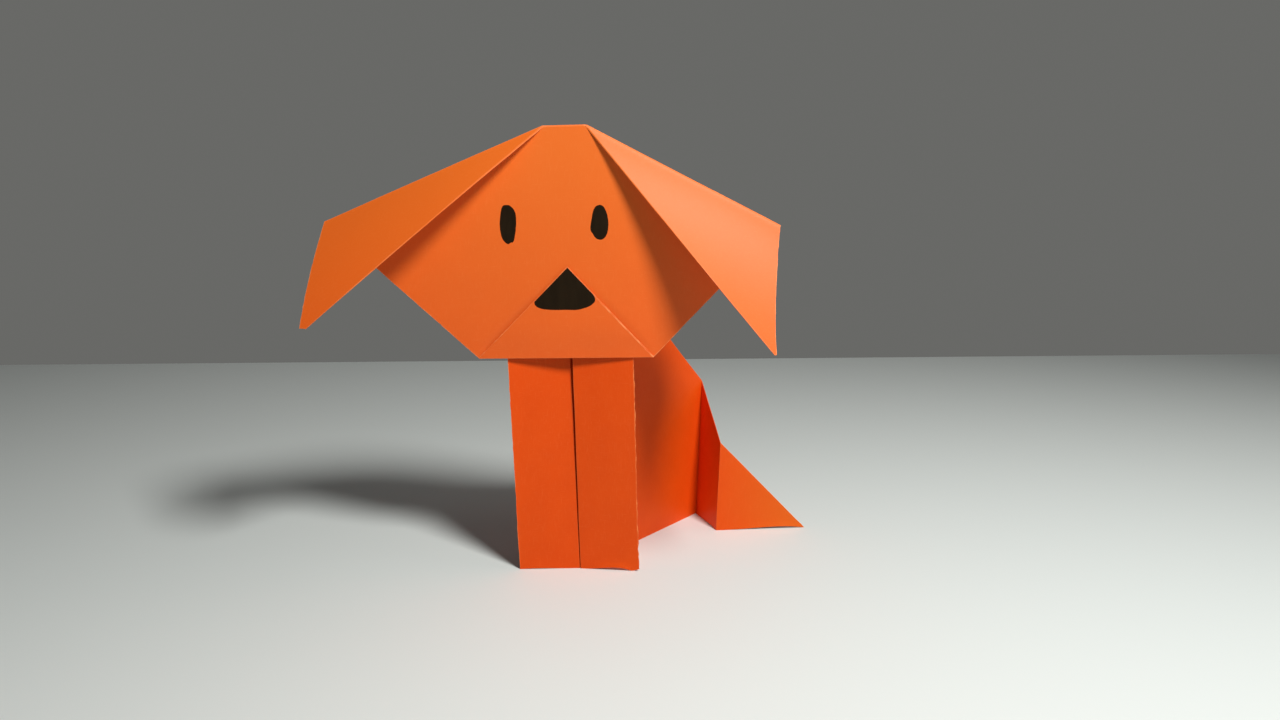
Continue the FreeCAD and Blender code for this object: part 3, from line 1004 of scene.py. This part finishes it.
# --- pieces --------------------------------------------------------------------------
body = body_points()
body_skin = outer_skin(body, BODY_PANELS, ON_TABLE)
tab_front = min(body_skin[n][1] for n in ("tab_right", "tab_left", "tab_tip"))
back_of_head = tab_front - seat
face = Face(back_of_head)
head = head_points(face)
head_skin = outer_skin(head, HEAD_PANELS)
left_eye_line = eye_outline(face, left_eye_offset, LEFT_EYE, left_eye_seed)
right_eye_line = eye_outline(face, right_eye_offset, RIGHT_EYE, right_eye_seed)
nose_line, nose_out = nose_outline(head_skin)

pieces = [
    (folded_sheet("body_folded", body, BODY_PANELS, [body_paper, cut_edge],
                  BODY_CURLS, lifts=FOOT_LIFTS),
     "body_sheet", "body_paper"),
    (folded_sheet("head_folded", head, HEAD_PANELS, [head_paper, cut_edge],
                  HEAD_CURLS, HEAD_DENTS),
     "head_sheet", "head_paper"),
    (ink_film("left_eye_drawn", left_eye_line, face.out, marker), "left_eye", "ink"),
    (ink_film("right_eye_drawn", right_eye_line, face.out, marker), "right_eye", "ink"),
    (ink_film("nose_drawn", nose_line, nose_out, marker,
              lambda spots: snout_curl(spots, head_skin)),
     "nose", "ink"),
    (glue_mesh("glue_dried", body_skin, back_of_head, dried_glue), "glue_dab", "glue"),
]
for obj, stands_for, slot in pieces:
    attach(obj, "root")
    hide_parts(stands_for)

# --- stage, in metres ----------------------------------------------------------------
table_back = 0.392       # the table ends behind the dog
table_turn = 0.121       # its far edge runs away to the right
table_reach = 4.0
bm = bmesh.new()
for x, y in ((-table_reach, -table_reach), (table_reach, -table_reach),
             (table_reach, table_back + table_turn * table_reach),
             (-table_reach, table_back - table_turn * table_reach)):
    bm.verts.new((x, y, 0))
bm.faces.new(bm.verts)
table_mesh = bpy.data.meshes.new("table")
bm.to_mesh(table_mesh)
bm.free()
table = bpy.data.objects.new("table", table_mesh)
bpy.context.scene.collection.objects.link(table)
table_paint, _, shader = principled("table_pale")
shader.inputs["Base Color"].default_value = (0.735, 0.772, 0.735, 1)
shader.inputs["Roughness"].default_value = 0.7
table_mesh.materials.append(table_paint)

# a dim white surround lights the dog, and only the camera and reflections see the backdrop
world = bpy.data.worlds.new("studio")
bpy.context.scene.world = world
world.use_nodes = True
tree = world.node_tree
tree.nodes.clear()
surround = node(tree, "ShaderNodeBackground")
surround.inputs["Color"].default_value = (1.0, 1.0, 1.0, 1)
surround.inputs["Strength"].default_value = 0.02
backdrop = node(tree, "ShaderNodeBackground")
backdrop.inputs["Color"].default_value = (0.140, 0.141, 0.134, 1)
backdrop.inputs["Strength"].default_value = 1.0
path = node(tree, "ShaderNodeLightPath")
seen = larger_of(tree, path.outputs["Is Camera Ray"], path.outputs["Is Glossy Ray"])
seen = larger_of(tree, seen, path.outputs["Is Transmission Ray"])
chooser = node(tree, "ShaderNodeMixShader")
link(tree, seen, chooser.inputs[0])
link(tree, surround.outputs[0], chooser.inputs[1])
link(tree, backdrop.outputs[0], chooser.inputs[2])
world_out = node(tree, "ShaderNodeOutputWorld")
link(tree, chooser.outputs[0], world_out.inputs["Surface"])

lamp_aim = Vector((0.0, -0.01, 0.09))


def area_light(name, place, size, power):
    """A round white lamp that points at the middle of the dog."""
    lamp = bpy.data.lights.new(name, "AREA")
    lamp.shape = "DISK"
    lamp.size = size
    lamp.energy = power
    obj = bpy.data.objects.new(name, lamp)
    obj.location = place
    obj.rotation_euler = (lamp_aim - Vector(place)).to_track_quat("-Z", "Y").to_euler()
    bpy.context.scene.collection.objects.link(obj)


area_light("key", (0.231, -0.287, 0.495), size=0.143, power=3.78)
area_light("side", (0.560, 0.000, 0.350), size=0.40, power=0.34)
area_light("top", (0.150, 0.150, 0.700), size=0.40, power=0.20)
area_light("back", (-0.300, 0.600, 0.450), size=0.50, power=0.12)

# --- camera, at the photograph's angle -----------------------------------------------
camera_place = Vector((0.02003, -0.30913, 0.1356))
camera_pitch = math.radians(10.94)      # below level
camera_roll = math.radians(-0.82)
ahead = Vector((0, math.cos(camera_pitch), -math.sin(camera_pitch)))
below = Vector((0, -math.sin(camera_pitch), -math.cos(camera_pitch)))
right = Vector((1, 0, 0))
turned_right = right * math.cos(camera_roll) + below * math.sin(camera_roll)
turned_below = below * math.cos(camera_roll) - right * math.sin(camera_roll)
axes = Matrix((turned_right, -turned_below, -ahead)).transposed()
camera_data = bpy.data.cameras.new("camera")
camera_data.sensor_width = 36.0
camera_data.lens = 26.0
camera_data.clip_start = 0.01
camera = bpy.data.objects.new("camera", camera_data)
camera.matrix_world = Matrix.Translation(camera_place) @ axes.to_4x4()
bpy.context.scene.collection.objects.link(camera)
bpy.context.scene.camera = camera

bpy.context.scene.view_settings.view_transform = "Standard"
